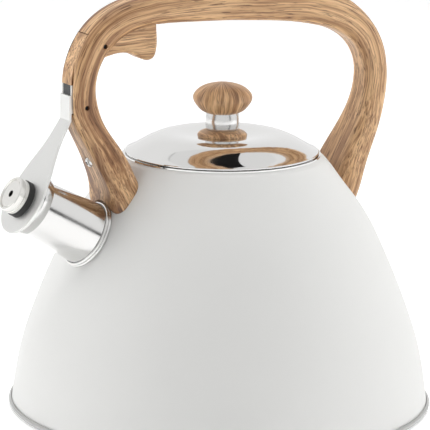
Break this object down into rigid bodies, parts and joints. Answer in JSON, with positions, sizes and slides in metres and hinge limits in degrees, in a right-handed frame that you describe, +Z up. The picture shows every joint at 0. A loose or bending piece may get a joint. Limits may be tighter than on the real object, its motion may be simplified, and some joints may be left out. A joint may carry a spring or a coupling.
{
  "type": "stovetop whistling kettle",
  "caption": "Stovetop whistling kettle: bell-shaped steel body, fixed loop handle with a squeeze trigger that lifts the whistle cap off the spout, and a lift-off domed lid.",
  "frame": {"origin": "centre of the base cap's flat underside, on the kettle's axis at the hob surface", "axes": "+Z up along the kettle's axis; the spout points along -X and the rear handle foot stands on +X; XZ is the plane of symmetry"},
  "size_m": [0.2347, 0.22, 0.2179],
  "materials": {
    "body_coating": "matte light grey-white powder coat",
    "polished_steel": "mirror polished",
    "brushed_rim": "satin, turned",
    "base_steel": "satin, turned",
    "satin_steel": "fine satin",
    "bracket_steel": "plain mill finish",
    "pin_steel": "plain",
    "black_pin": "blackened",
    "aluminium_core": "as rolled",
    "wood_print": "printed wood grain on nylon, satin",
    "black_plastic": "moulded",
    "black_silicone": "matte"
  },
  "bodies": {
    "kettle": {"body_shell": "body_coating", "neck_ring": "polished_steel", "base_pan": "brushed_rim", "base_core": "aluminium_core", "base_cap": "base_steel", "spout_tube": "polished_steel", "spout_collar": "polished_steel", "handle": "wood_print", "front_bracket": "bracket_steel", "rear_bracket": "bracket_steel", "front_screw": "polished_steel", "rear_screw": "polished_steel", "trigger_pin": "black_pin", "lever_pin": "black_pin", "return_spring": "pin_steel"},
    "lid": {"lid_dome": "polished_steel", "lid_skirt": "polished_steel", "knob_base": "wood_print", "knob_neck": "polished_steel", "knob": "wood_print", "knob_screw": "pin_steel", "knob_washer": "pin_steel"},
    "arm": {"arm_plate": "satin_steel", "lever_core": "black_plastic", "lever_cover": "wood_print", "link_pin": "pin_steel", "spout_cap": "polished_steel", "cap_gasket": "black_silicone", "whistle_ring": "black_silicone", "whistle_front": "satin_steel", "whistle_body": "black_plastic", "whistle_back": "satin_steel"},
    "trigger": {"trigger": "wood_print"}
  },
  "joints": [
    {"name": "lid_lift", "type": "slide", "parent": "kettle", "child": "lid", "axis": [0, 0, 1], "range_m": [0, 0.028]},
    {"name": "arm_swing", "type": "hinge", "parent": "kettle", "child": "arm", "pos_m": [-0.0822, 0, 0.1636], "axis": [0, 1, 0], "range_deg": [0, 11.5], "stiffness_Nm_per_rad": 0.5, "springref_deg": -14.32},
    {"name": "trigger_pull", "type": "hinge", "parent": "kettle", "child": "trigger", "pos_m": [-0.0721, 0, 0.1938], "axis": [0, -1, 0], "range_deg": [0, 10.49]}
  ],
  "couplings": [
    {"joint": "trigger_pull", "follows": "arm_swing", "ratio": 0.912}
  ]
}
